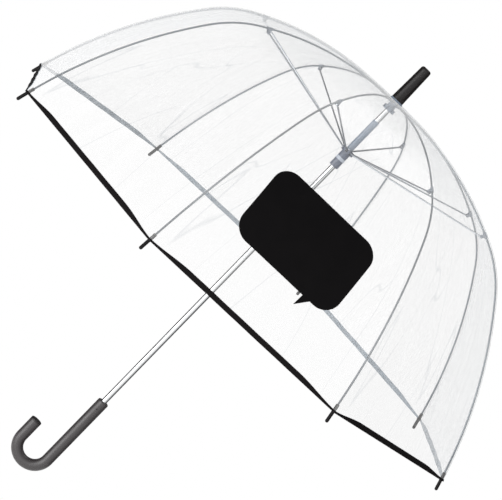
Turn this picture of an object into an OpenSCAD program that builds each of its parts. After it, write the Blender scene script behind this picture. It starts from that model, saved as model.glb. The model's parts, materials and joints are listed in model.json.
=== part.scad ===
// Clear dome umbrella with a crook handle, open and locked.
// +Z runs up the shaft; the origin is at the middle of the handle's straight grip.

/* [Shaft] */
// Outer diameter of the shaft tube
shaft_d = 9; // [8:0.5:9]
// Wall of the shaft tube
shaft_wall = 0.8; // [0.6:0.1:1]
// From the top of the handle to the foot of the ferrule
shaft_clear_run = 638; // [600:2:660]

/* [Handle] */
// Diameter of the handle's tube
handle_d = 18.5; // [16:0.5:19]
// Straight length of the grip below its rounded top edge
grip_len = 124; // [100:2:130]
// Radius of the crook at the middle of the tube
crook_r = 27; // [24:1:34]
// Straight length of the crook's free leg, end cap included
leg_len = 34; // [20:1:40]

/* [Canopy frame] */
// Direction of the first rib, clear of the crook's plane
rib_start_angle = 30; // [0:1:44]
// Straight length of a rib where it leaves the crown
crown_run = 30; // [26:1:40]
// Length of the rib's shoulder arc
shoulder_len = 200; // [180:2:210]
// Bend of the rib's shoulder arc
shoulder_turn = 24.5; // [22:0.5:26]
// Straight length of a rib through its stretcher clip
clip_run = 16; // [14:1:20]
// Length of the rib's knee arc
knee_len = 84; // [70:1:90]
// Bend of the rib's knee arc
knee_turn = 25.5; // [22:0.5:27]
// Length of the rib's side arc, down to the hem
side_len = 280; // [260:5:290]
// Bend of the rib's side arc
side_turn = 23; // [18:1:24]
// Diameter of a rib
rib_d = 2.8; // [2.4:0.1:3]
// Diameter of a stretcher
stretcher_d = 2.5; // [2.2:0.1:2.6]

/* [Canopy film] */
// Thickness of the film
film_t = 0.2; // [0.2:0.1:0.6]
// Thickness of the hem tape
tape_t = 0.6; // [0.4:0.1:0.8]
// Width of the hem tape
tape_w = 8; // [6:0.5:10]

/* [Runner and ferrule] */
// Length of the runner below its slotted flange
runner_len = 28; // [26:1:40]
// Length of the ferrule
ferrule_len = 64; // [50:1:70]
// Diameter of the ferrule at its foot
ferrule_d = 20.5; // [17:0.5:21]
// Diameter of the ferrule near its tip
ferrule_tip_d = 17.5; // [13:0.5:18]

/* [Hidden] */
$fn = 64;
RIBS = 8;

// Clearances
running = 0.05;        // radial, shaft in a sliding bore
side_gap = 0.4;        // each side of a rib in its slot
overshoot = 1;         // how far a cutter runs past a face

// Levels on the shaft axis
handle_top = grip_len / 2 + 2;
hub_z = handle_top + shaft_clear_run;
crown_z = hub_z - 6;            // rib hinge
hinge_r = 8.5;                  // rib and stretcher hinges, from the axis
flange_r = 10.8;
shaft_r = shaft_d / 2;
eye_r = 1.6;
eye_w = 2.4;
eye_hole_r = 0.7;
wire_r = 0.5;
slot_w = rib_d + 2 * side_gap;
slot_r = hinge_r - eye_r - 0.3;

// The rib's line as [length, bend] runs, starting level at the crown
RUNS = [[crown_run, 0], [shoulder_len, shoulder_turn], [clip_run, 0],
        [knee_len, knee_turn], [side_len, side_turn]];
INNER_RUNS = [0, 1, 2];
function heading(a) = [cos(a), -sin(a)];
function outward(a) = [sin(a), cos(a)];
// Point [radius, z] after a length of one run that starts at p with heading a
function along(p, a, length, turn) = turn == 0
    ? p + length * heading(a)
    : p + (length * 180 / PI / turn) * (outward(a + turn) - outward(a));
function run_angle(k) = k == 0 ? 0 : run_angle(k - 1) + RUNS[k - 1][1];
function run_start(k) = k == 0
    ? [hinge_r, crown_z]
    : along(run_start(k - 1), run_angle(k - 1), RUNS[k - 1][0], RUNS[k - 1][1]);
function run_radius(k) = RUNS[k][0] * 180 / PI / RUNS[k][1];
function run_centre(k) = run_start(k) - run_radius(k) * outward(run_angle(k));

// The rib's clip, its stretcher pivot and the runner, with the two links equally long
clip_at = 6;                    // from the start of the clip run
clip_len = 9;
clip_r = 2.4;
pivot_drop = 6;
clip_angle = run_angle(2);
clip_point = run_start(2) + clip_at * heading(clip_angle);
pivot = clip_point - pivot_drop * outward(clip_angle);
flex = run_start(3);
ball_r = rib_d / 2 + 0.2;
runner_z = crown_z - 2 * (crown_z - pivot[1]);
rivet_r = 0.9;
rivet_hole_r = 0.95;
ear_gap = 3.2;
ear_t = 0.8;
ear_r = 2.2;

// The rib's end and its cap
rib_tip = run_start(5);
tip_angle = run_angle(5);
cap_r = 2.5;
cap_over = 12;
cap_past = 17;

// The film stands off the ribs far enough to clear their caps and clips
film_in = 3.2;
film_out = film_in + film_t;
tape_out = film_out + tape_t;
ARC_STEPS = 10;
function profile(offset, first = 0, last = 4) = [
    for (k = [first:last], j = [0:RUNS[k][1] == 0 ? 0 : ARC_STEPS - 1])
        let (share = j / ARC_STEPS, a = run_angle(k) + share * RUNS[k][1])
            along(run_start(k), run_angle(k), share * RUNS[k][0], share * RUNS[k][1]) + offset * outward(a)];
function backwards(points) = [for (i = [len(points) - 1:-1:0]) points[i]];
film_z = crown_z + film_in;
film_hole_r = shaft_r;

// The catches and the keyway that lets the runner pass them
catch_angle = rib_start_angle + 22.5;
catch_w = 1.6;
catch_len = 12;
catch_out = 5.9;
catch_in = 2.2;
keyway_w = 2.2;
keyway_r = 6.2;
runner_r = 7.5;
sleeve_r = 5.3;
band_z = [runner_z - 18, runner_z - 13];
runner_top = runner_z + 3;
runner_bottom = runner_z - 3 - runner_len;
fold_angle = 75;
link_angle = atan2(crown_z - pivot[1], pivot[0] - hinge_r);
link_len = norm(pivot - [hinge_r, crown_z]);
travel = 2 * link_len * (sin(link_angle + fold_angle) - sin(link_angle));
top_catch_z = runner_bottom - 0.4 - catch_len;
bottom_catch_z = runner_bottom - travel + 6;

module at_rib(i) rotate([0, 0, rib_start_angle + (i - 1) * 360 / RIBS]) children();
module each_rib() for (i = [1:RIBS]) at_rib(i) children();
module at_point(p) translate([p[0], 0, p[1]]) children();
module barrel(r, w) rotate([90, 0, 0]) cylinder(r = r, h = w, center = true);
module tube(z0, z1, outer, inner) translate([0, 0, z0]) difference() {
    cylinder(r = outer, h = z1 - z0);
    translate([0, 0, -overshoot]) cylinder(r = inner, h = z1 - z0 + 2 * overshoot);
}
module ring(z, major, minor) translate([0, 0, z]) rotate_extrude() translate([major, 0]) circle(r = minor);

// One run of the rib's line as a round rod in the XZ plane
module rod_run(k, r) {
    a = run_angle(k);
    if (RUNS[k][1] == 0) at_point(run_start(k)) rotate([0, 90 + a, 0]) cylinder(r = r, h = RUNS[k][0]);
    else at_point(run_centre(k)) rotate([90, 0, 0]) rotate([0, 0, 90 - a - RUNS[k][1]])
        rotate_extrude(angle = RUNS[k][1]) translate([run_radius(k), 0]) circle(r = r);
}

// A swage ring a hair proud of the rod, which ties two runs into one solid
module swage(k) at_point(run_start(k)) rotate([0, 90 + run_angle(k), 0])
    cylinder(r = rib_d / 2 + 0.03, h = 1, center = true);

module catch_profile(z0) polygon([[catch_in, z0], [shaft_r + 0.2, z0], [catch_out, z0 + catch_len / 2],
    [catch_out, z0 + catch_len], [catch_in, z0 + catch_len]]);
module catch_blade(z0) rotate([0, 0, catch_angle]) rotate([90, 0, 0])
    linear_extrude(height = catch_w, center = true) catch_profile(z0);
module catch_slot(z0) rotate([0, 0, catch_angle])
    translate([0, -catch_w / 2 - 0.15, z0 - 0.3]) cube([shaft_r + overshoot, catch_w + 0.3, catch_len + 0.6]);
module pin_hole(r) translate([0, 0, handle_top - 14]) barrel(r, handle_d + 2 * overshoot);
module hinge_slots(z0, z1) each_rib()
    translate([slot_r, -slot_w / 2, z0]) cube([flange_r, slot_w, z1 - z0]);

module shaft_tube() color("gainsboro") difference() {
    tube(handle_top - 60, hub_z + 22, shaft_r, shaft_r - shaft_wall);
    catch_slot(top_catch_z);
    catch_slot(bottom_catch_z);
    pin_hole(1);
}

module ferrule() color([0.12, 0.11, 0.11]) translate([0, 0, hub_z]) difference() {
    round_r = 4;
    rotate_extrude() {
        square([ferrule_tip_d / 2 - round_r, ferrule_len]);
        polygon([[0, 0], [ferrule_d / 2, 0], [ferrule_tip_d / 2, ferrule_len - round_r],
                 [0, ferrule_len - round_r]]);
        translate([ferrule_tip_d / 2 - round_r, ferrule_len - round_r]) intersection() {
            circle(r = round_r);
            square(round_r);
        }
    }
    translate([0, 0, -overshoot]) cylinder(r = shaft_r, h = 22 + overshoot);
}

module canopy_washer() color("whitesmoke") difference() {
    z0 = film_z + film_t;
    translate([0, 0, z0]) cylinder(r1 = 11.5, r2 = ferrule_d / 2, h = hub_z - z0);
    translate([0, 0, z0 - overshoot]) cylinder(r = shaft_r, h = hub_z);
}

module crown_notch() color("silver") difference() {
    union() {
        tube(crown_z - 3, film_z, flange_r, shaft_r);
        tube(crown_z - 10, crown_z - 2, slot_r - 0.1, shaft_r);
        tube(crown_z - 15, crown_z - 9, flange_r - 0.8, shaft_r);
    }
    hinge_slots(crown_z - 16, film_z + overshoot);
    ring(crown_z, hinge_r, wire_r);
}
module crown_wire() color("gray") ring(crown_z, hinge_r, wire_r);
module stop_sleeve() color([0.75, 0.77, 0.8, 0.7]) tube(runner_top + 0.5, hub_z - 44, sleeve_r, shaft_r);

module runner() color([0.35, 0.38, 0.44]) difference() {
    union() {
        tube(runner_z - 3, runner_top, flange_r, shaft_r + running);
        tube(runner_bottom, runner_z - 2, runner_r, shaft_r + running);
    }
    hinge_slots(runner_z - eye_r - 0.4, runner_top + overshoot);
    ring(runner_z, hinge_r, wire_r);
    rotate([0, 0, catch_angle]) {
        translate([0, -keyway_w / 2, runner_bottom - overshoot])
            cube([keyway_r, keyway_w, runner_top - runner_bottom + 2 * overshoot]);
        translate([0, -keyway_w / 2, runner_bottom + 4]) cube([runner_r + overshoot, keyway_w, 16]);
    }
    tube(band_z[0], band_z[1], runner_r + overshoot, runner_r - 0.6);
}
module runner_band() color([0.75, 0.77, 0.8]) tube(band_z[0], band_z[1], runner_r + 0.2, runner_r - 0.6);
module runner_wire() color("gray") ring(runner_z, hinge_r, wire_r);

module top_catch() color("silver") catch_blade(top_catch_z);
module bottom_catch() color("silver") catch_blade(bottom_catch_z);

module handle() color([0.27, 0.26, 0.27]) difference() {
    edge = 2;
    r = handle_d / 2;
    union() {
        translate([0, 0, -grip_len / 2]) cylinder(r = r, h = grip_len);
        translate([0, 0, grip_len / 2]) rotate_extrude() {
            square([r - edge, edge]);
            translate([r - edge, 0]) intersection() {
                circle(r = edge);
                square(edge);
            }
        }
        translate([-crook_r, 0, -grip_len / 2]) rotate([90, 0, 0]) rotate([0, 0, 180])
            rotate_extrude(angle = 180) translate([crook_r, 0]) circle(r = r);
        translate([-2 * crook_r, 0, -grip_len / 2]) cylinder(r = r, h = leg_len - 3);
    }
    translate([0, 0, handle_top - 60]) cylinder(r = shaft_r, h = 60 + overshoot);
    translate([-2 * crook_r, 0, -grip_len / 2 + leg_len - 15]) cylinder(r = 5, h = 15);
    pin_hole(1);
}
module handle_end_cap() color([0.1, 0.1, 0.1]) translate([-2 * crook_r, 0, -grip_len / 2 + leg_len - 3]) {
    edge = 1.2;
    r = handle_d / 2;
    cylinder(r = r, h = 3 - edge);
    translate([0, 0, -10]) cylinder(r = 5, h = 10.5);
    translate([0, 0, 3 - edge]) rotate_extrude() {
        square([r - edge, edge]);
        translate([r - edge, 0]) intersection() {
            circle(r = edge);
            square(edge);
        }
    }
}
module handle_pin() color("silver") translate([0, 0, handle_top - 14]) barrel(1, handle_d - 1);

module rib(i) color("lightgray") at_rib(i) difference() {
    union() {
        at_point([hinge_r, crown_z]) barrel(eye_r, eye_w);
        for (k = INNER_RUNS) rod_run(k, rib_d / 2);
        for (k = [1, 2]) swage(k);
        at_point(flex) sphere(r = ball_r);
    }
    at_point([hinge_r, crown_z]) barrel(eye_hole_r, rib_d + overshoot);
}
module rib_end(i) color("lightgray") at_rib(i) {
    difference() {
        rod_run(3, rib_d / 2);
        at_point(flex) barrel(ball_r + 0.3, rib_d + overshoot);
    }
    rod_run(4, rib_d / 2);
    swage(4);
}
module rib_clip(i) color("whitesmoke") at_rib(i) {
    difference() {
        union() {
            at_point(clip_point) rotate([0, 90 + clip_angle, 0]) cylinder(r = clip_r, h = clip_len, center = true);
            at_point(pivot) rotate([0, clip_angle, 0]) for (side = [-1, 1])
                translate([0, side * (ear_gap + ear_t) / 2, 0]) {
                    barrel(ear_r, ear_t);
                    translate([-ear_r, -ear_t / 2, 0]) cube([2 * ear_r, ear_t, pivot_drop]);
                }
        }
        at_point(clip_point) rotate([0, 90 + clip_angle, 0])
            cylinder(r = rib_d / 2, h = clip_len + 2 * overshoot, center = true);
        at_point(pivot) barrel(rivet_r, ear_gap + 4 * ear_t);
    }
    at_point(pivot) {
        barrel(rivet_r, ear_gap + 2 * ear_t);
        for (side = [-1, 1]) translate([0, side * (ear_gap / 2 + ear_t + 0.2), 0]) barrel(1.4, 0.4);
    }
}
module stretcher(i) color("lightgray") at_rib(i) difference() {
    foot = [hinge_r, runner_z];
    rise = atan2(pivot[1] - runner_z, pivot[0] - hinge_r);
    union() {
        at_point(foot) barrel(eye_r, eye_w);
        at_point(foot) rotate([0, 90 - rise, 0]) cylinder(r = stretcher_d / 2, h = link_len);
        at_point(pivot) barrel(1.9, eye_w);
    }
    at_point(foot) barrel(eye_hole_r, stretcher_d + overshoot);
    at_point(pivot) barrel(rivet_hole_r, stretcher_d + overshoot);
}
module tip(i) color([0.1, 0.1, 0.1]) at_rib(i) at_point(rib_tip) rotate([0, 90 + tip_angle, 0]) difference() {
    union() {
        translate([0, 0, -cap_over]) cylinder(r = cap_r, h = cap_over + cap_past - cap_r);
        translate([0, 0, cap_past - cap_r]) sphere(r = cap_r);
    }
    translate([0, 0, -cap_over - overshoot]) cylinder(r = rib_d / 2 + 0.15, h = cap_over + overshoot);
}

module dome_band(inner, outer) rotate([0, 0, rib_start_angle]) rotate_extrude($fn = RIBS)
    polygon(concat(inner, backwards(outer)));
module canopy_film() color([0.9, 0.93, 0.95, 0.35]) {
    edge = function(offset) rib_tip + offset * outward(tip_angle);
    dome_band(concat([[film_hole_r + 0.4, film_z]], profile(film_in), [edge(film_in)]),
              concat([[film_hole_r + 0.4, film_z + film_t]], profile(film_out), [edge(film_out)]));
}
module hem_tape() color([0.08, 0.08, 0.08]) {
    a = tip_angle - side_turn * tape_w / side_len;
    top = along(run_start(4), run_angle(4), side_len - tape_w, side_turn * (1 - tape_w / side_len));
    dome_band([top + film_out * outward(a), rib_tip + film_out * outward(tip_angle)],
              [top + tape_out * outward(a), rib_tip + tape_out * outward(tip_angle)]);
}

shaft_tube();
ferrule();
canopy_washer();
crown_notch();
crown_wire();
stop_sleeve();
runner();
runner_band();
runner_wire();
top_catch();
bottom_catch();
handle();
handle_end_cap();
handle_pin();
canopy_film();
hem_tape();
for (i = [1:RIBS]) {
    rib(i);
    rib_end(i);
    stretcher(i);
    rib_clip(i);
    tip(i);
}
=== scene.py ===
"""Film, hem, print, finishes and stage of a clear dome umbrella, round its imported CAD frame.

Metres, +Z up the shaft, origin at the middle of the handle's straight grip.
"""

import json
import math

import bmesh
import bpy
from mathutils import Matrix, Vector


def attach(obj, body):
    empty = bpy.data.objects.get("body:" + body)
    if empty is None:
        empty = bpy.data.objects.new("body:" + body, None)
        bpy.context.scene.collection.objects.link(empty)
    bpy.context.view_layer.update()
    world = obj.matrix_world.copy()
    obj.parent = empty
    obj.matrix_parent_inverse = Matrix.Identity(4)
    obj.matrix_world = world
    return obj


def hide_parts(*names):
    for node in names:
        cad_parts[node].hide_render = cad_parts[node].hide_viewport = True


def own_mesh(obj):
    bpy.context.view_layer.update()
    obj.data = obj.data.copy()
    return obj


bl_info = {
    "name": "Clear Dome Umbrella",
    "version": (1, 0, 0),
    "blender": (4, 5, 0),
    "location": "View3D > Sidebar > Umbrella",
    "description": "Film, hem tape, printed panel, finishes and stage of a clear dome umbrella",
    "category": "Add Mesh",
}

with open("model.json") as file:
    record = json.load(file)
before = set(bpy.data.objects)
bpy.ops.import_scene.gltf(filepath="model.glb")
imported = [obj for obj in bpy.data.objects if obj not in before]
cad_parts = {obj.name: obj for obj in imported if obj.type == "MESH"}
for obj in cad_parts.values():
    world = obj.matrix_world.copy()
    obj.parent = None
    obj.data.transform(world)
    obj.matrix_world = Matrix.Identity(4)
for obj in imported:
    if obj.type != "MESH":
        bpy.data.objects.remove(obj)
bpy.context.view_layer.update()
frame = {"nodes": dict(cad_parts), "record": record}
MM = 0.001

# --- The frame's own measures -------------------------------------------------

JOINTS = {joint["name"]: joint for joint in frame["record"]["behaviour"]["joints"]}
FIRST_HINGE = Vector(JOINTS["rib_1_fold"]["pos_m"])
HINGE_RADIUS = FIRST_HINGE.xy.length
CROWN_Z = FIRST_HINGE.z
FIRST_RIB = math.atan2(FIRST_HINGE.y, FIRST_HINGE.x)
RIBS = range(1, 9)
GORE_ANGLE = math.tau / len(RIBS)

# A rib's centreline from its hinge, as (length, bend) runs that start level
RUNS = [
    (length * MM, math.radians(bend))
    for length, bend in ((30, 0), (200, 24.5), (16, 0), (84, 25.5), (280, 23))
]
RIB_RUN = sum(length for length, _ in RUNS)
FLEX_RUN = sum(length for length, _ in RUNS[:3])
CANOPY_TOP_RUN = -2.4 * MM  # where the film ends under its washer
FILM_STANDOFF = 3.38 * MM  # from a rib's centreline to the film's outer face

# A folded gore keeps this share of its width on each side of its rib
UPPER_FOLD = 0.2
LOWER_FOLD = 0.1

# The print's gore lies between this rib and the next
PRINT_GORE = 6

# --- The stage's measures -------------------------------------------------------

FLOOR_Z = -900 * MM
FLOOR_SIZE = 3600 * MM
LENS_MM = 170.9
CAMERA_AT = Vector((-74.2, -3563.4, 804.7)) * MM
CAMERA_TARGET = Vector((0.3, 42.9, 382.7)) * MM
CAMERA_ROLL = math.radians(-44.22)
LIGHT_TARGET = Vector((0, 0, 350)) * MM


def rib_at(run):
    """Radius, height and downward heading of a rib's centreline that far from its hinge."""
    tiny = 1e-9
    radius, z, heading = HINGE_RADIUS, CROWN_Z, 0.0
    for index, (length, bend) in enumerate(RUNS):
        step = run if index == len(RUNS) - 1 else min(run, length)
        turn = bend * step / length
        chord = step if abs(turn) < tiny else 2 * length / bend * math.sin(turn / 2)
        radius += chord * math.cos(heading + turn / 2)
        z -= chord * math.sin(heading + turn / 2)
        heading += turn
        run -= step
        if run <= tiny:
            break
    return radius, z, heading


def rib_azimuth(rib):
    return FIRST_RIB + (rib - 1) * GORE_ANGLE


def smooth(low, high, value):
    share = min(max((value - low) / (high - low), 0.0), 1.0)
    return share * share * (3 - 2 * share)


def film_relief(gore, across, run, sag, pucker):
    """How far the stretched film lies off its straight span between two ribs."""
    span = 4 * across * (1 - across)
    # The film is drawn tight under its washer and free from 100 mm out
    clear = smooth(20 * MM, 100 * MM, run)
    belly = -sag * span * math.sin(math.pi * min(max(run / RIB_RUN, 0), 1))
    # Each gore's ripples start elsewhere, so that no two gores match
    phase = 1.7 * gore
    # Pull lines fan out from each rib's end and die away over 90 mm
    up_hem = RIB_RUN - run
    near_hem = math.exp(-up_hem / (90 * MM))
    fan = math.sin(34 * across + 9 * up_hem / (100 * MM) * (across - 0.5) + phase)
    # Long, low waves cross the whole gore
    drape = math.sin(11 * across + 23 * run + phase) * math.sin(17 * run - 2 * phase)
    # Six small pleats leave the crown and die away over 120 mm
    crown = math.exp(-run / (120 * MM)) * math.sin(math.tau * 6 * across + phase)
    ripple = 0.9 * near_hem * fan + 0.8 * drape + 0.5 * crown
    return clear * (belly + pucker * span * ripple)


def film_at(gore, across, run, proud=0.0):
    """A point of the film: across runs from 0 at a gore's first rib to 1 at the next."""
    film = bpy.context.scene.umbrella_film
    radius, z, heading = rib_at(run)
    stand = FILM_STANDOFF + proud
    radius += stand * math.sin(heading)
    z += stand * math.cos(heading)
    first = rib_azimuth(gore)
    ends = [
        Vector((radius * math.cos(a), radius * math.sin(a), z))
        for a in (first, first + GORE_ANGLE)
    ]
    middle = first + GORE_ANGLE / 2
    outward = Vector(
        (
            math.sin(heading) * math.cos(middle),
            math.sin(heading) * math.sin(middle),
            math.cos(heading),
        )
    )
    relief = film_relief(gore, across, run, film.sag, film.pucker)
    return ends[0].lerp(ends[1], across) + outward * relief


def gore_width(run):
    return 2 * rib_at(run)[0] * math.sin(GORE_ANGLE / 2)


def flat_cut(first_run, last_run):
    """Width, length and area of the film cut for one rib, between two runs."""
    steps = 40
    length = last_run - first_run
    widths = [
        gore_width(first_run + length * (step + 0.5) / steps) for step in range(steps)
    ]
    return max(widths), length, sum(widths) * length / steps


def about_rib(rib, side, run, proud=0.0):
    """A film point beside a rib: side runs from -0.5 to 0.5, the middles of its two gores."""
    if side < 0:
        return film_at(rib - 1 or len(RIBS), 1 + side, run, proud)
    return film_at(rib, side, run, proud)


# --- Modelling ------------------------------------------------------------------


def deselect():
    if bpy.context.object is not None and bpy.context.object.mode != "OBJECT":
        bpy.ops.object.mode_set(mode="OBJECT")
    bpy.ops.object.select_all(action="DESELECT")


def select_only(piece):
    deselect()
    piece.select_set(True)
    bpy.context.view_layer.objects.active = piece


def apply_modifier(piece, kind, **settings):
    modifier = piece.modifiers.new(kind.title(), kind)
    for name, value in settings.items():
        setattr(modifier, name, value)
    select_only(piece)
    bpy.ops.object.modifier_apply(modifier=modifier.name)


def sheet_grid(name, columns, rows, place, measure):
    """A grid laid onto a surface.

    From shares of 0 to 1, place gives a point and measure gives its UV in metres.
    """
    deselect()
    bpy.ops.mesh.primitive_grid_add(
        x_subdivisions=columns, y_subdivisions=rows, size=1, location=(0, 0, 0)
    )
    piece = bpy.context.object
    piece.name = piece.data.name = name
    shares = [(v.co.x + 0.5, v.co.y + 0.5) for v in piece.data.vertices]
    for vertex, share in zip(piece.data.vertices, shares):
        vertex.co = place(*share)
    layer = piece.data.uv_layers.active
    for loop in piece.data.loops:
        layer.data[loop.index].uv = measure(*shares[loop.vertex_index])
    return piece


def thicken(piece, thickness):
    """Gives a sheet its thickness, inwards from its outer face."""
    apply_modifier(
        piece, "SOLIDIFY", thickness=thickness, offset=-1.0, use_even_offset=False
    )
    select_only(piece)
    bpy.ops.object.shade_smooth_by_angle(angle=math.radians(40))


def fold_with(piece, body, keep):
    """Lets a soft piece ride a rib, on a mesh of its own."""
    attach(piece, body)
    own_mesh(piece)


# --- Materials ------------------------------------------------------------------

# Sockets that a colour Mix node can only be asked for by number
MIX_SHARE, MIX_A, MIX_B, MIX_RESULT = 0, 6, 7, 2


def linear(hexadecimal):
    """A linear RGBA colour from an sRGB hex value such as "#1b1718"."""
    channels = [int(hexadecimal[i : i + 2], 16) / 255 for i in (1, 3, 5)]
    return tuple(
        c / 12.92 if c <= 0.04045 else ((c + 0.055) / 1.055) ** 2.4 for c in channels
    ) + (1.0,)


def add_node(tree, kind, links=None, values=None, **settings):
    """Adds a node, sets its own settings and its sockets' values, and links sockets into it."""
    node = tree.nodes.new(kind)
    for name, value in settings.items():
        setattr(node, name, value)
    for name, value in (values or {}).items():
        node.inputs[name].default_value = value
    for name, source in (links or {}).items():
        tree.links.new(source, node.inputs[name])
    return node


def new_material(name):
    """An empty node material and its output."""
    material = bpy.data.materials.new(name)
    material.use_nodes = True
    material.node_tree.nodes.clear()
    output = material.node_tree.nodes.new("ShaderNodeOutputMaterial")
    return material, material.node_tree, output


def moulded_plastic(
    name, base, worn, roughness, grain_mm, grain_depth_mm, specular=0.5, coat=0.0
):
    """Injection-moulded plastic: an even tone, soft flow marks and a spark-eroded grain."""
    material, tree, output = new_material(name)
    place = add_node(tree, "ShaderNodeTexCoord").outputs["Object"]
    # Flow marks a few centimetres long shade the colour and the gloss a little
    flow = add_node(
        tree,
        "ShaderNodeTexNoise",
        links={"Vector": place},
        values={"Scale": 1 / (22 * MM), "Detail": 3.0, "Roughness": 0.55},
    ).outputs["Fac"]
    # The mould's grain
    grain = add_node(
        tree,
        "ShaderNodeTexNoise",
        links={"Vector": place},
        values={"Scale": 1 / (grain_mm * MM), "Detail": 2.0},
    ).outputs["Fac"]
    gloss = add_node(
        tree,
        "ShaderNodeMapRange",
        links={"Value": flow},
        values={
            "From Min": 0.3,
            "From Max": 0.7,
            "To Min": roughness - 0.05,
            "To Max": roughness + 0.07,
        },
    ).outputs["Result"]
    bump = add_node(
        tree,
        "ShaderNodeBump",
        links={"Height": grain},
        values={"Strength": 0.5, "Distance": grain_depth_mm * MM},
    ).outputs["Normal"]
    tone = add_node(
        tree,
        "ShaderNodeMix",
        links={MIX_SHARE: flow},
        values={MIX_A: base, MIX_B: worn},
        data_type="RGBA",
    ).outputs[MIX_RESULT]
    shader = add_node(
        tree,
        "ShaderNodeBsdfPrincipled",
        links={
            "Base Color": tone,
            "Roughness": gloss,
            "Normal": bump,
        },
        values={
            "Specular IOR Level": specular,
            "Coat Weight": coat,
            "Coat Roughness": 0.12,
        },
    )
    tree.links.new(shader.outputs[0], output.inputs["Surface"])
    return material


def drawn_metal(name, base, shade, roughness, streak_mm, stretch, depth_mm):
    """Drawn, pressed or plated steel: fine lines along Z that break up its reflections."""
    material, tree, output = new_material(name)
    place = add_node(tree, "ShaderNodeTexCoord").outputs["Object"]
    along = add_node(
        tree,
        "ShaderNodeMapping",
        links={"Vector": place},
        values={"Scale": (1, 1, 1 / stretch)},
    ).outputs["Vector"]
    streaks = add_node(
        tree,
        "ShaderNodeTexNoise",
        links={"Vector": along},
        values={"Scale": 1 / (streak_mm * MM), "Detail": 4.0, "Roughness": 0.6},
    ).outputs["Fac"]
    cloud = add_node(
        tree,
        "ShaderNodeTexNoise",
        links={"Vector": place},
        values={"Scale": 1 / (35 * MM), "Detail": 2.0},
    ).outputs["Fac"]
    gloss = add_node(
        tree,
        "ShaderNodeMapRange",
        links={"Value": streaks},
        values={
            "From Min": 0.3,
            "From Max": 0.7,
            "To Min": max(roughness - 0.04, 0.02),
            "To Max": roughness + 0.08,
        },
    ).outputs["Result"]
    bump = add_node(
        tree,
        "ShaderNodeBump",
        links={"Height": streaks},
        values={"Strength": 0.3, "Distance": depth_mm * MM},
    ).outputs["Normal"]
    tone = add_node(
        tree,
        "ShaderNodeMix",
        links={MIX_SHARE: cloud},
        values={MIX_A: base, MIX_B: shade},
        data_type="RGBA",
    ).outputs[MIX_RESULT]
    shader = add_node(
        tree,
        "ShaderNodeBsdfPrincipled",
        links={
            "Base Color": tone,
            "Roughness": gloss,
            "Normal": bump,
        },
        values={"Metallic": 1.0},
    )
    tree.links.new(shader.outputs[0], output.inputs["Surface"])
    return material


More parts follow.
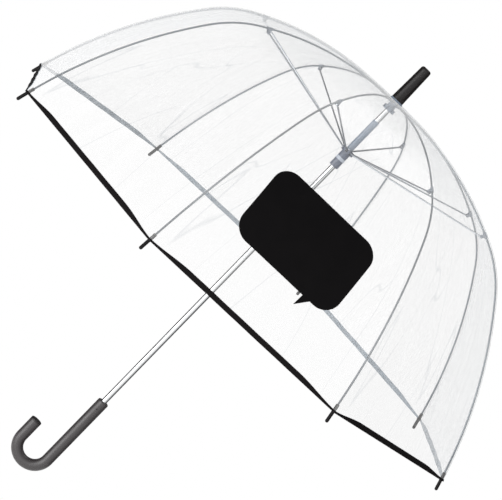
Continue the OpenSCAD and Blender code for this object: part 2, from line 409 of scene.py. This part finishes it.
def clear_pvc_film(clear, edge, veil):
    """Calendered clear PVC: milky edges, a thin bloom, soft glints and a weld on each rib."""
    material, tree, output = new_material("calendered_pvc_film")
    flat = add_node(tree, "ShaderNodeTexCoord").outputs["UV"]
    parts = add_node(tree, "ShaderNodeSeparateXYZ", links={"Vector": flat})
    beside = add_node(
        tree,
        "ShaderNodeMath",
        links={0: parts.outputs["X"]},
        operation="ABSOLUTE",
    ).outputs[0]
    # The weld that joins two gores is a flat band 5 mm wide over the rib
    weld = add_node(
        tree,
        "ShaderNodeMapRange",
        links={"Value": beside},
        values={
            "From Min": 2.9 * MM,
            "From Max": 2.3 * MM,
            "To Min": 0.0,
            "To Max": 1.0,
        },
    ).outputs["Result"]
    # Streaks of bloom run up the gore, tens of millimetres long
    drawn = add_node(
        tree,
        "ShaderNodeMapping",
        links={"Vector": flat},
        values={"Scale": (1, 0.16, 1)},
    ).outputs["Vector"]
    streaks = add_node(
        tree,
        "ShaderNodeTexNoise",
        links={"Vector": drawn},
        values={
            "Scale": 1 / (16 * MM),
            "Detail": 4.0,
            "Roughness": 0.6,
            "Distortion": 0.5,
        },
    ).outputs["Fac"]
    bloom = add_node(
        tree,
        "ShaderNodeMapRange",
        links={"Value": streaks},
        values={
            "From Min": 0.42,
            "From Max": 0.75,
            "To Min": 0.045,
            "To Max": 0.085,
        },
    ).outputs["Result"]
    # The weld is 5% milkier than the film beside it
    haze = add_node(
        tree,
        "ShaderNodeMath",
        links={0: weld, 2: bloom},
        values={1: 0.05},
        operation="MULTIPLY_ADD",
    ).outputs[0]
    # Thin creases wander up the gore
    wander = add_node(
        tree,
        "ShaderNodeMapping",
        links={"Vector": flat},
        values={"Scale": (1, 0.07, 1)},
    ).outputs["Vector"]
    folds = add_node(
        tree,
        "ShaderNodeTexNoise",
        links={"Vector": wander},
        values={"Scale": 1 / (55 * MM), "Detail": 1.0, "Roughness": 0.4},
    ).outputs["Fac"]
    aside = add_node(
        tree,
        "ShaderNodeMath",
        links={0: folds},
        values={1: 0.5},
        operation="SUBTRACT",
    ).outputs[0]
    away = add_node(
        tree, "ShaderNodeMath", links={0: aside}, operation="ABSOLUTE"
    ).outputs[0]
    crease = add_node(
        tree,
        "ShaderNodeMapRange",
        links={"Value": away},
        values={"From Max": 0.006, "To Min": 0.6, "To Max": 0.0},
    ).outputs["Result"]
    # The rim is where the film is seen on its edge
    facing = add_node(
        tree, "ShaderNodeLayerWeight", values={"Blend": 0.5}
    ).outputs["Facing"]
    rim = add_node(
        tree,
        "ShaderNodeMath",
        links={0: facing},
        values={1: 5.0},
        operation="POWER",
    ).outputs[0]
    edge_share = add_node(
        tree,
        "ShaderNodeMath",
        links={0: crease, 1: rim},
        operation="MAXIMUM",
    ).outputs[0]
    # Seen on its edge, the film is thick enough to hide what lies behind it
    cover = add_node(
        tree,
        "ShaderNodeMath",
        links={0: rim, 2: haze},
        values={1: 0.4},
        operation="MULTIPLY_ADD",
    ).outputs[0]
    tint = add_node(
        tree,
        "ShaderNodeMix",
        links={MIX_SHARE: edge_share},
        values={MIX_A: clear, MIX_B: edge},
        data_type="RGBA",
    ).outputs[MIX_RESULT]
    see_through = add_node(tree, "ShaderNodeBsdfTransparent", links={"Color": tint})
    milk = add_node(
        tree, "ShaderNodeBsdfDiffuse", values={"Color": veil, "Roughness": 0.0}
    )
    body = add_node(
        tree,
        "ShaderNodeMixShader",
        links={0: cover, 1: see_through.outputs[0], 2: milk.outputs[0]},
    )
    bump = add_node(
        tree,
        "ShaderNodeBump",
        links={"Height": streaks},
        values={"Strength": 0.25, "Distance": 0.4 * MM},
    ).outputs["Normal"]
    gloss = add_node(
        tree,
        "ShaderNodeBsdfGlossy",
        links={"Normal": bump},
        values={"Color": linear("#f6f6f7"), "Roughness": 0.12},
    )
    # The bloom dulls each face, which mirrors 1.5% head on and more on its edge
    mirror = add_node(
        tree,
        "ShaderNodeMath",
        links={0: rim},
        values={1: 0.05, 2: 0.015},
        operation="MULTIPLY_ADD",
    ).outputs[0]
    film = add_node(
        tree,
        "ShaderNodeMixShader",
        links={0: mirror, 1: body.outputs[0], 2: gloss.outputs[0]},
    )
    tree.links.new(film.outputs[0], output.inputs["Surface"])
    return material


def woven_tape(name, base, light, roughness):
    """Polyester binding tape or waxed thread: a close plain weave with a faint sheen, and a
    painted highlight, in the light colour, on the raised crossings of its threads.
    """
    material, tree, output = new_material(name)
    flat = add_node(tree, "ShaderNodeTexCoord").outputs["UV"]
    # Real threads are 0.3 mm apart; they are drawn 2.4 mm apart so that they show
    thread_gap = 2.4 * MM
    # A Wave node runs through one band in tau / 20 units at a scale of 1
    wave_scale = math.tau / (20 * thread_gap)
    warp, weft = (
        add_node(
            tree,
            "ShaderNodeTexWave",
            links={"Vector": flat},
            values={"Scale": wave_scale, "Distortion": 0.4},
            bands_direction=direction,
        ).outputs["Fac"]
        for direction in ("X", "Y")
    )
    weave = add_node(
        tree,
        "ShaderNodeMath",
        links={0: warp, 1: weft},
        operation="MULTIPLY",
    ).outputs[0]
    # Patches 18 mm across, over which the painted highlight comes and goes
    highlight_patches = add_node(
        tree,
        "ShaderNodeTexNoise",
        links={"Vector": flat},
        values={"Scale": 1 / (18 * MM), "Detail": 3.0},
    ).outputs["Fac"]
    # The raised crossings take the light colour in patches: a painted highlight on the thread
    # crowns
    raised = add_node(
        tree,
        "ShaderNodeMath",
        links={0: weave, 1: highlight_patches},
        operation="MULTIPLY",
    ).outputs[0]
    tone = add_node(
        tree,
        "ShaderNodeMix",
        links={MIX_SHARE: raised},
        values={MIX_A: base, MIX_B: light},
        data_type="RGBA",
    ).outputs[MIX_RESULT]
    bump = add_node(
        tree,
        "ShaderNodeBump",
        links={"Height": weave},
        values={"Strength": 0.5, "Distance": 0.15 * MM},
    ).outputs["Normal"]
    shader = add_node(
        tree,
        "ShaderNodeBsdfPrincipled",
        links={"Base Color": tone, "Normal": bump},
        values={
            "Roughness": roughness,
            "Specular IOR Level": 0.1,
            "Sheen Weight": 0.02,
            "Sheen Roughness": 0.4,
        },
    )
    tree.links.new(shader.outputs[0], output.inputs["Surface"])
    return material


def printed_ink(base, worn):
    """Screen-printed PVC ink: near black, satin, with the mesh's faint orange peel."""
    material, tree, output = new_material("screen_printed_ink")
    flat = add_node(tree, "ShaderNodeTexCoord").outputs["UV"]
    # The print screen's mesh leaves a 1.5 mm orange peel
    peel = add_node(
        tree,
        "ShaderNodeTexNoise",
        links={"Vector": flat},
        values={"Scale": 1 / (1.5 * MM), "Detail": 2.0},
    ).outputs["Fac"]
    patch = add_node(
        tree,
        "ShaderNodeTexNoise",
        links={"Vector": flat},
        values={"Scale": 1 / (30 * MM), "Detail": 3.0},
    ).outputs["Fac"]
    bump = add_node(
        tree,
        "ShaderNodeBump",
        links={"Height": peel},
        values={"Strength": 0.3, "Distance": 0.05 * MM},
    ).outputs["Normal"]
    tone = add_node(
        tree,
        "ShaderNodeMix",
        links={MIX_SHARE: patch},
        values={MIX_A: base, MIX_B: worn},
        data_type="RGBA",
    ).outputs[MIX_RESULT]
    shader = add_node(
        tree,
        "ShaderNodeBsdfPrincipled",
        links={"Base Color": tone, "Normal": bump},
        values={"Roughness": 0.5, "Specular IOR Level": 0.08},
    )
    tree.links.new(shader.outputs[0], output.inputs["Surface"])
    return material


def two_tone_steel(name, upper, lower, change_z, fade_mm, roughness):
    """Lacquered spring steel: one tone above and another below, where the lacquer stops."""
    material, tree, output = new_material(name)
    place = add_node(tree, "ShaderNodeTexCoord").outputs["Object"]
    height = add_node(
        tree, "ShaderNodeSeparateXYZ", links={"Vector": place}
    ).outputs["Z"]
    above = add_node(
        tree,
        "ShaderNodeMapRange",
        links={"Value": height},
        values={
            "From Min": change_z - fade_mm * MM,
            "From Max": change_z + fade_mm * MM,
        },
    ).outputs["Result"]
    # Lacquer pools a little, every 12 mm or so
    pool = add_node(
        tree,
        "ShaderNodeTexNoise",
        links={"Vector": place},
        values={"Scale": 1 / (12 * MM), "Detail": 3.0},
    ).outputs["Fac"]
    gloss = add_node(
        tree,
        "ShaderNodeMapRange",
        links={"Value": pool},
        values={
            "From Min": 0.3,
            "From Max": 0.7,
            "To Min": roughness - 0.06,
            "To Max": roughness + 0.08,
        },
    ).outputs["Result"]
    tone = add_node(
        tree,
        "ShaderNodeMix",
        links={MIX_SHARE: above},
        values={MIX_A: lower, MIX_B: upper},
        data_type="RGBA",
    ).outputs[MIX_RESULT]
    shader = add_node(
        tree,
        "ShaderNodeBsdfPrincipled",
        links={"Base Color": tone, "Roughness": gloss},
        values={"Metallic": 0.75},
    )
    tree.links.new(shader.outputs[0], output.inputs["Surface"])
    return material


def finish_nodes(names, material):
    """Gives CAD nodes their finish, without touching their meshes."""
    for name in names:
        for slot in frame["nodes"][name].material_slots:
            slot.material = material


# --- Sizes and colours -------------------------------------------------------------


def size(name, description, millimetres, low=0.0, high=500.0):
    return bpy.props.FloatProperty(
        name=name,
        description=description,
        default=millimetres * MM,
        min=low * MM,
        max=high * MM,
        unit="LENGTH",
    )


def colour(name, description, hexadecimal):
    return bpy.props.FloatVectorProperty(
        name=name,
        description=description,
        default=linear(hexadecimal),
        size=4,
        min=0.0,
        max=1.0,
        subtype="COLOR",
    )


class UmbrellaFilm(bpy.types.PropertyGroup):
    thickness: size("Thickness", "Thickness of the film", 0.16, 0.1, 0.2)
    sag: size("Sag", "How far the film's middle lies inside a straight span", 2.2)
    pucker: size("Pucker", "Height of the film's pull lines", 0.5, 0, 2)
    clear: colour("Clear", "What the film lets through, seen straight on", "#fdfdfd")
    edge: colour("Edge", "What the film lets through, seen on its edge", "#f0f1f2")
    veil: colour("Veil", "The film's milky bloom", "#f2f2f2")


class UmbrellaHem(bpy.types.PropertyGroup):
    width: size("Width", "Width of the hem tape between ribs", 8, 4, 12)
    end_width: size("End width", "Width of the hem tape where it is gathered", 3.2, 1, 8)
    gather: size("Gather", "Length over which the tape narrows to a rib", 72, 5, 90)
    thickness: size("Thickness", "Thickness of the folded tape", 0.7, 0.3, 1)
    face: colour("Face", "The tape's outer face", "#0d0a0b")
    # The thread colours are painted highlights on the raised crossings of the tape's weave
    thread: colour("Thread", "The tape's raised threads", "#1b1718")
    backing: colour("Backing", "The tape's inner face", "#7d8790")
    backing_thread_highlight: colour("Backing thread", "The inner face's threads", "#8a949c")


class UmbrellaPrint(bpy.types.PropertyGroup):
    width: size("Width", "Width of the printed panel", 179, 60, 240)
    height: size("Height", "Height of the printed panel", 125, 40, 160)
    corner: size("Corner", "Radius of the panel's corners", 27, 5, 40)
    shift: size("Shift", "How far the panel lies beside the gore's middle", -9.5, -60, 60)
    foot: size("Foot", "Where the panel's foot lies along the rib", 521, 450, 560)
    ink: colour("Ink", "The panel's ink", "#050405")
    ink_worn: colour("Worn ink", "The ink where it is thinner", "#0b090a")


class UmbrellaColours(bpy.types.PropertyGroup):
    handle: colour("Handle", "The crook handle", "#241f20")
    ferrule: colour("Ferrule", "The ferrule and the ribs' caps", "#080606")
    crown: colour("Crown", "The crown and its washer", "#7c8896")
    runner: colour("Runner", "The runner's body", "#3f4656")
    sleeve: colour("Sleeve", "The stop sleeve", "#7e8a98")
    rib: colour("Rib", "A rib's lacquer", "#8d9398")


# --- Operators: soft goods ------------------------------------------------------------


class UMBRELLA_OT_film(bpy.types.Operator):
    """Adds the clear film, one upper and one lower cut on each rib"""

    bl_idname = "umbrella.film"
    bl_label = "Film"

    def execute(self, context):
        film = context.scene.umbrella_film
        material = clear_pvc_film(film.clear, film.edge, film.veil)
        columns = 44
        cuts = (
            ("upper", "rib", CANOPY_TOP_RUN, FLEX_RUN, 28, UPPER_FOLD),
            ("lower", "rib_end", FLEX_RUN, RIB_RUN, 40, LOWER_FOLD),
        )
        for rib in RIBS:
            for part, body, first, last, rows, keep in cuts:

                def run_at(share):
                    return last + (first - last) * share

                piece = sheet_grid(
                    f"film_{part}_{rib}",
                    columns,
                    rows,
                    lambda u, v: about_rib(rib, u - 0.5, run_at(v)),
                    lambda u, v: ((u - 0.5) * gore_width(run_at(v)), run_at(v)),
                )
                piece.data.materials.append(material)
                thicken(piece, film.thickness)
                fold_with(piece, f"{body}_{rib}", keep)
                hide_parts("canopy_film")
        return {"FINISHED"}


class UMBRELLA_OT_hem(bpy.types.Operator):
    """Adds the tape that binds the film's hem, one length on each rib"""

    bl_idname = "umbrella.hem"
    bl_label = "Hem tape"

    def execute(self, context):
        hem = context.scene.umbrella_hem
        # Each second colour is a painted highlight on the weave's raised crossings
        outside = woven_tape(
            "polyester_binding_tape", hem.face, hem.thread, roughness=0.5
        )
        inside = woven_tape(
            "polyester_tape_backing", hem.backing, hem.backing_thread_highlight, roughness=0.6
        )
        columns, rows = 72, 4
        gore = gore_width(RIB_RUN)
        overhang = 0.6 * MM
        film_gap = 0.1 * MM
        swell = 0.25 * MM

        def tape_width(side):
            share = smooth(0.0, hem.gather, abs(side) * gore)
            return hem.end_width + (hem.width - hem.end_width) * share

        def place(rib, side, share):
            # The tape hangs a little below the film's edge and lies over it
            run = RIB_RUN + overhang - tape_width(side) * share
            rise = 4 * share * (1 - share) * swell
            return about_rib(rib, side, run, hem.thickness + film_gap + rise)

        for rib in RIBS:
            piece = sheet_grid(
                f"hem_tape_{rib}",
                columns,
                rows,
                lambda u, v: place(rib, u - 0.5, v),
                lambda u, v: ((u - 0.5) * gore, v * tape_width(u - 0.5)),
            )
            piece.data.materials.append(outside)
            piece.data.materials.append(inside)
            thicken(piece, hem.thickness)
            for face in piece.data.polygons:
                # Outwards, and up a little, as the film's outer face looks
                outwards = Vector((face.center.x, face.center.y, 0.15 * gore))
                face.material_index = int(face.normal.dot(outwards) < 0)
            fold_with(piece, f"rib_end_{rib}", LOWER_FOLD)
            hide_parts("hem_tape")
        return {"FINISHED"}


class UMBRELLA_OT_print(bpy.types.Operator):
    """Adds the plain speech-bubble panel printed on one gore, in two halves that fold apart"""

    bl_idname = "umbrella.print"
    bl_label = "Printed panel"

    def outline(self, panel):
        """The bubble's outline as (across, run) points in metres, with the run downwards."""
        left = panel.shift - panel.width / 2
        right = panel.shift + panel.width / 2
        top, foot, radius = panel.foot - panel.height, panel.foot, panel.corner
        corners = (
            (right - radius, top + radius, -90),
            (right - radius, foot - radius, 0),
            (left + radius, foot - radius, 90),
            (left + radius, top + radius, 180),
        )
        corner_steps = 12
        points = []
        for index, (x, y, start) in enumerate(corners):
            for step in range(corner_steps + 1):
                angle = math.radians(start + 90 * step / corner_steps)
                points.append(
                    (x + radius * math.cos(angle), y + radius * math.sin(angle))
                )
            if index == 1:
                # The tail leans back towards the panel's middle
                tail = ((46.5, 0), (31.6, 18.5), (33.3, 0))
                points += [(aside * MM, foot + drop * MM) for aside, drop in tail]
        return points

    def half_shape(self, panel, keep_inner):
        """The flat panel on one side of the gore's middle, cut finely enough to curve."""
        grid_step = 6 * MM
        shape = bmesh.new()
        shape.faces.new(
            [shape.verts.new((x, -y, 0)) for x, y in reversed(self.outline(panel))]
        )
        across, along = Vector((1, 0, 0)), Vector((0, 1, 0))
        # The cuts span the part of the gore that the panel covers
        for normal, low, high in (
            (across, -120 * MM, 120 * MM),
            (along, -560 * MM, -380 * MM),
        ):
            for index in range(int((high - low) / grid_step) + 1):
                bmesh.ops.bisect_plane(
                    shape,
                    geom=shape.verts[:] + shape.edges[:] + shape.faces[:],
                    plane_co=normal * (low + index * grid_step),
                    plane_no=normal,
                )
        bmesh.ops.bisect_plane(
            shape,
            geom=shape.verts[:] + shape.edges[:] + shape.faces[:],
            plane_co=(0, 0, 0),
            plane_no=across,
            clear_outer=not keep_inner,
            clear_inner=keep_inner,
        )
        bmesh.ops.triangulate(
            shape, faces=[face for face in shape.faces if len(face.verts) > 4]
        )
        return shape

    def execute(self, context):
        panel = context.scene.umbrella_print
        material = printed_ink(panel.ink, panel.ink_worn)
        ink_thickness = 0.1 * MM
        proud = 0.14 * MM
        for rib, keep_inner in ((PRINT_GORE, False), (PRINT_GORE + 1, True)):
            deselect()
            name = f"printed_panel_{rib}"
            mesh = bpy.data.meshes.new(name)
            shape = self.half_shape(panel, keep_inner)
            shape.to_mesh(mesh)
            shape.free()
            piece = bpy.data.objects.new(name, mesh)
            context.collection.objects.link(piece)
            flat = [(vertex.co.x, -vertex.co.y) for vertex in mesh.vertices]
            layer = mesh.uv_layers.new(name="UVMap")
            for loop in mesh.loops:
                layer.data[loop.index].uv = flat[loop.vertex_index]
            for vertex, (across, run) in zip(mesh.vertices, flat):
                share = 0.5 + across / gore_width(run)
                vertex.co = film_at(PRINT_GORE, share, run, proud)
            mesh.materials.append(material)
            thicken(piece, ink_thickness)
            fold_with(piece, f"rib_end_{rib}", LOWER_FOLD)
        return {"FINISHED"}


class UMBRELLA_OT_declare(bpy.types.Operator):
    bl_idname = "umbrella.declare"
    bl_label = "Declare the sheets"

    def execute(self, context):
        for rib in RIBS:
            for part, first, last in (
                ("upper", CANOPY_TOP_RUN, FLEX_RUN),
                ("lower", FLEX_RUN, RIB_RUN),
            ):
                width, length, area = flat_cut(first, last)
        return {"FINISHED"}


class UMBRELLA_OT_tip_loops(bpy.types.Operator):
    """Adds the thread loop that ties the hem's corner to each rib's cap"""

    bl_idname = "umbrella.tip_loops"
    bl_label = "Tip loops"

    def execute(self, context):
        material = woven_tape(
            "waxed_nylon_thread",
            linear("#2a2628"),
            # The second colour is a painted highlight on the thread's raised crossings
            linear("#6d696b"),
            roughness=0.45,
        )
        loop_radius = 3.3 * MM
        thread_radius = 0.42 * MM
        from_end = 1.5 * MM
        drawn_out, raised = 0.9 * MM, 1.6 * MM
        radius, z, heading = rib_at(RIB_RUN - from_end)
        for rib in RIBS:
            azimuth = rib_azimuth(rib)
            turn = Matrix.Rotation(azimuth, 4, "Z") @ Matrix.Rotation(
                math.pi / 2 + heading, 4, "Y"
            )
            deselect()
            bpy.ops.mesh.primitive_torus_add(
                major_radius=loop_radius,
                minor_radius=thread_radius,
                major_segments=36,
                minor_segments=10,
                location=(0, 0, 0),
            )
            piece = bpy.context.object
            piece.name = piece.data.name = f"tip_loop_{rib}"
            for vertex in piece.data.vertices:
                # The loop is drawn out towards the film that it holds
                pull = max(-vertex.co.x, 0) / loop_radius
                vertex.co.x -= drawn_out * pull
                vertex.co.z += raised * pull * pull
                vertex.co = turn @ vertex.co
                vertex.co += Vector(
                    (radius * math.cos(azimuth), radius * math.sin(azimuth), z)
                )
            piece.data.materials.append(material)
            select_only(piece)
            bpy.ops.object.shade_smooth()
            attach(piece, f"rib_end_{rib}")
        return {"FINISHED"}


# --- Operators: finishes of the CAD nodes -------------------------------------------------


class UMBRELLA_OT_handle(bpy.types.Operator):
    """Finishes the crook handle, its end cap and its pin"""

    bl_idname = "umbrella.handle"
    bl_label = "Handle"

    def execute(self, context):
        colours = context.scene.umbrella_colours
        finish_nodes(
            ["handle"],
            moulded_plastic(
                "satin_moulded_abs",
                colours.handle,
                linear("#2d2829"),
                roughness=0.42,
                grain_mm=0.9,
                grain_depth_mm=0.006,
                specular=0.9,
            ),
        )
        finish_nodes(
            ["handle_end_cap"],
            moulded_plastic(
                "moulded_abs_end_cap",
                colours.ferrule,
                linear("#221e1f"),
                roughness=0.4,
                grain_mm=0.8,
                grain_depth_mm=0.04,
            ),
        )
        finish_nodes(
            ["handle_pin"],
            drawn_metal(
                "blackened_steel_pin",
                linear("#232122"),
                linear("#2f2c2d"),
                roughness=0.4,
                streak_mm=0.5,
                stretch=2,
                depth_mm=0.01,
            ),
        )
        return {"FINISHED"}


class UMBRELLA_OT_shaft(bpy.types.Operator):
    """Finishes the plated shaft tube, the steel wires and catches, and the stop sleeve"""

    bl_idname = "umbrella.shaft"
    bl_label = "Shaft"

    def execute(self, context):
        colours = context.scene.umbrella_colours
        finish_nodes(
            ["shaft_tube"],
            drawn_metal(
                "chrome_plated_tube",
                linear("#eceded"),
                linear("#dcdedf"),
                roughness=0.14,
                streak_mm=1.2,
                stretch=40,
                depth_mm=0.001,
            ),
        )
        finish_nodes(
            ["crown_wire", "runner_wire"],
            drawn_metal(
                "galvanised_steel_wire",
                linear("#9ea2a7"),
                linear("#83878c"),
                roughness=0.34,
                streak_mm=0.6,
                stretch=3,
                depth_mm=0.01,
            ),
        )
        finish_nodes(
            ["top_catch", "bottom_catch"],
            drawn_metal(
                "pressed_spring_steel",
                linear("#d4d8dd"),
                linear("#bcc1c7"),
                roughness=0.26,
                streak_mm=0.7,
                stretch=4,
                depth_mm=0.01,
            ),
        )
        finish_nodes(
            ["stop_sleeve"],
            moulded_plastic(
                "milky_polyethylene_sleeve",
                colours.sleeve,
                linear("#707b89"),
                roughness=0.3,
                grain_mm=1.5,
                grain_depth_mm=0.03,
                coat=0.2,
            ),
        )
        return {"FINISHED"}


class UMBRELLA_OT_crown(bpy.types.Operator):
    """Finishes the ferrule, the washer over the film and the notched crown under it"""

    bl_idname = "umbrella.crown"
    bl_label = "Ferrule and crown"

    def execute(self, context):
        colours = context.scene.umbrella_colours
        finish_nodes(
            ["ferrule"],
            moulded_plastic(
                "gloss_moulded_abs_ferrule",
                colours.ferrule,
                linear("#17110f"),
                roughness=0.4,
                grain_mm=0.8,
                grain_depth_mm=0.012,
                specular=0.4,
            ),
        )
        finish_nodes(
            ["canopy_washer", "crown_notch"],
            moulded_plastic(
                "grey_moulded_polyacetal",
                colours.crown,
                linear("#6d7886"),
                roughness=0.3,
                grain_mm=0.8,
                grain_depth_mm=0.03,
                coat=0.15,
            ),
        )
        return {"FINISHED"}


class UMBRELLA_OT_runner(bpy.types.Operator):
    """Finishes the runner and the band round it"""

    bl_idname = "umbrella.runner"
    bl_label = "Runner"

    def execute(self, context):
        colours = context.scene.umbrella_colours
        finish_nodes(
            ["runner"],
            moulded_plastic(
                "grey_moulded_polyacetal_runner",
                colours.runner,
                linear("#5d6577"),
                roughness=0.3,
                grain_mm=0.8,
                grain_depth_mm=0.03,
                coat=0.15,
            ),
        )
        finish_nodes(
            ["runner_band"],
            moulded_plastic(
                "pale_moulded_band",
                linear("#b4bbc5"),
                linear("#a2aab6"),
                roughness=0.36,
                grain_mm=0.8,
                grain_depth_mm=0.03,
            ),
        )
        return {"FINISHED"}


class UMBRELLA_OT_ribs(bpy.types.Operator):
    """Finishes the ribs, stretchers, clips and caps"""

    bl_idname = "umbrella.ribs"
    bl_label = "Ribs and stretchers"

    def execute(self, context):
        colours = context.scene.umbrella_colours
        bare_below = rib_at(0.9 * RIB_RUN)[1]
        finish_nodes(
            [f"{part}_{rib}" for part in ("rib", "rib_end") for rib in RIBS],
            two_tone_steel(
                "lacquered_spring_steel",
                colours.rib,
                linear("#6a7077"),
                change_z=bare_below,
                fade_mm=22,
                roughness=0.34,
            ),
        )
        finish_nodes(
            [f"stretcher_{rib}" for rib in RIBS],
            drawn_metal(
                "zinc_plated_stretcher",
                linear("#c6cacf"),
                linear("#afb3b8"),
                roughness=0.34,
                streak_mm=0.8,
                stretch=6,
                depth_mm=0.01,
            ),
        )
        finish_nodes(
            [f"rib_clip_{rib}" for rib in RIBS],
            moulded_plastic(
                "grey_moulded_polyacetal_clip",
                linear("#8b9199"),
                linear("#757b84"),
                roughness=0.34,
                grain_mm=0.6,
                grain_depth_mm=0.02,
            ),
        )
        finish_nodes(
            [f"tip_{rib}" for rib in RIBS],
            moulded_plastic(
                "moulded_abs_cap",
                colours.ferrule,
                linear("#131010"),
                roughness=0.5,
                grain_mm=0.6,
                grain_depth_mm=0.01,
                specular=0.2,
            ),
        )
        return {"FINISHED"}


# --- Operator: stage --------------------------------------------------------------------------


class UMBRELLA_OT_stage(bpy.types.Operator):
    """Adds the pale floor far below, the soft studio light and the camera"""

    bl_idname = "umbrella.stage"
    bl_label = "Stage"

    def floor(self):
        deselect()
        bpy.ops.mesh.primitive_grid_add(
            x_subdivisions=8, y_subdivisions=8, size=FLOOR_SIZE, location=(0, 0, FLOOR_Z)
        )
        floor = bpy.context.object
        floor.name = "floor"
        material, tree, output = new_material("white_seamless_paper")
        place = add_node(tree, "ShaderNodeTexCoord").outputs["Object"]
        # Paper grain a few centimetres across, too faint to see from here
        grain = add_node(
            tree,
            "ShaderNodeTexNoise",
            links={"Vector": place},
            values={"Scale": 1 / (40 * MM), "Detail": 3.0},
        ).outputs["Fac"]
        tone = add_node(
            tree,
            "ShaderNodeMix",
            links={MIX_SHARE: grain},
            values={MIX_A: linear("#fafafa"), MIX_B: linear("#ffffff")},
            data_type="RGBA",
        ).outputs[MIX_RESULT]
        shader = add_node(
            tree,
            "ShaderNodeBsdfPrincipled",
            links={"Base Color": tone},
            values={"Roughness": 0.9, "Specular IOR Level": 0.1},
        )
        tree.links.new(shader.outputs[0], output.inputs["Surface"])
        floor.data.materials.append(material)

    def world(self, scene):
        """A white room whose reflections are bright in front and dim behind."""
        world = bpy.data.worlds.new("studio")
        scene.world = world
        world.use_nodes = True
        tree = world.node_tree
        tree.nodes.clear()
        path = add_node(tree, "ShaderNodeLightPath")
        direction = add_node(tree, "ShaderNodeTexCoord").outputs["Generated"]
        depth = add_node(
            tree, "ShaderNodeSeparateXYZ", links={"Vector": direction}
        ).outputs["Y"]
        # Reflections find a white screen in front, which fades to a dim room behind
        room = add_node(
            tree,
            "ShaderNodeMapRange",
            links={"Value": depth},
            values={
                "From Min": -0.95,
                "From Max": -0.1,
                "To Min": 1.25,
                "To Max": 0.07,
            },
        ).outputs["Result"]
        around = add_node(
            tree,
            "ShaderNodeBackground",
            links={"Strength": room},
            values={"Color": linear("#f7f7f8")},
        )
        fill = add_node(
            tree,
            "ShaderNodeBackground",
            values={"Color": linear("#fcfcfc"), "Strength": 1.05},
        )
        white = add_node(
            tree,
            "ShaderNodeBackground",
            values={"Color": linear("#ffffff"), "Strength": 1.0},
        )
        unseen = add_node(
            tree,
            "ShaderNodeMixShader",
            links={
                0: path.outputs["Is Glossy Ray"],
                1: fill.outputs[0],
                2: around.outputs[0],
            },
        )
        final = add_node(
            tree,
            "ShaderNodeMixShader",
            links={
                0: path.outputs["Is Camera Ray"],
                1: unseen.outputs[0],
                2: white.outputs[0],
            },
        )
        output = add_node(tree, "ShaderNodeOutputWorld")
        tree.links.new(final.outputs[0], output.inputs["Surface"])

    def softbox(self, name, location, width, height, power):
        """An area light, in metres and watts, aimed at the middle of the umbrella."""
        light = bpy.data.lights.new(name, "AREA")
        light.shape = "RECTANGLE"
        light.size, light.size_y, light.energy = width, height, power
        lamp = bpy.data.objects.new(name, light)
        lamp.location = location
        aim = LIGHT_TARGET - Vector(location)
        lamp.rotation_mode = "QUATERNION"
        lamp.rotation_quaternion = aim.to_track_quat("-Z", "Y")
        bpy.context.collection.objects.link(lamp)

    def camera(self, scene):
        """A long lens a little above the canopy, rolled so that the shaft leans."""
        lens = bpy.data.cameras.new("camera")
        lens.lens, lens.sensor_width = LENS_MM, 36.0
        lens.clip_start, lens.clip_end = 0.05, 100.0
        camera = bpy.data.objects.new("camera", lens)
        back = (CAMERA_AT - CAMERA_TARGET).normalized()
        right = Vector((0, 0, 1)).cross(back).normalized()
        up = back.cross(right)
        lean = (math.cos(CAMERA_ROLL), math.sin(CAMERA_ROLL))
        across = right * lean[0] - up * lean[1]
        upward = right * lean[1] + up * lean[0]
        turn = Matrix((across, upward, back)).transposed().to_4x4()
        camera.matrix_world = Matrix.Translation(CAMERA_AT) @ turn
        bpy.context.collection.objects.link(camera)
        scene.camera = camera

    def execute(self, context):
        scene = context.scene
        self.floor()
        self.world(scene)
        self.softbox("key_softbox", (-2.1, -2.1, -0.2), width=2.6, height=2.4, power=60)
        self.softbox("top_softbox", (0.5, 1.2, 3.2), width=1.6, height=1.6, power=14)
        self.camera(scene)
        scene.view_settings.view_transform = "Standard"
        # A folded canopy is many clear layers deep
        scene.cycles.transparent_max_bounces = 64
        return {"FINISHED"}


# --- Panel and registration ----------------------------------------------------------------------

GROUPS = {
    "umbrella_film": UmbrellaFilm,
    "umbrella_hem": UmbrellaHem,
    "umbrella_print": UmbrellaPrint,
    "umbrella_colours": UmbrellaColours,
}
OPERATORS = (
    UMBRELLA_OT_film,
    UMBRELLA_OT_hem,
    UMBRELLA_OT_print,
    UMBRELLA_OT_declare,
    UMBRELLA_OT_tip_loops,
    UMBRELLA_OT_handle,
    UMBRELLA_OT_shaft,
    UMBRELLA_OT_crown,
    UMBRELLA_OT_runner,
    UMBRELLA_OT_ribs,
    UMBRELLA_OT_stage,
)


class UMBRELLA_PT_panel(bpy.types.Panel):
    """Lists the umbrella's pieces, sizes and colours"""

    bl_idname = "UMBRELLA_PT_panel"
    bl_label = "Clear Dome Umbrella"
    bl_space_type = "VIEW_3D"
    bl_region_type = "UI"
    bl_category = "Umbrella"

    def draw(self, context):
        for group in GROUPS:
            box = self.layout.box()
            settings = getattr(context.scene, group)
            for name in settings.__annotations__:
                box.prop(settings, name)
        for operator in OPERATORS:
            self.layout.operator(operator.bl_idname)


def register():
    for group in GROUPS.values():
        bpy.utils.register_class(group)
    for name, group in GROUPS.items():
        setattr(bpy.types.Scene, name, bpy.props.PointerProperty(type=group))
    for item in (*OPERATORS, UMBRELLA_PT_panel):
        bpy.utils.register_class(item)


def unregister():
    for item in (UMBRELLA_PT_panel, *reversed(OPERATORS)):
        bpy.utils.unregister_class(item)
    for name in GROUPS:
        delattr(bpy.types.Scene, name)
    for group in GROUPS.values():
        bpy.utils.unregister_class(group)


def main():
    register()
    for operator in OPERATORS:
        area, name = operator.bl_idname.split(".")
        getattr(getattr(bpy.ops, area), name)()


if __name__ == "__main__":
    main()
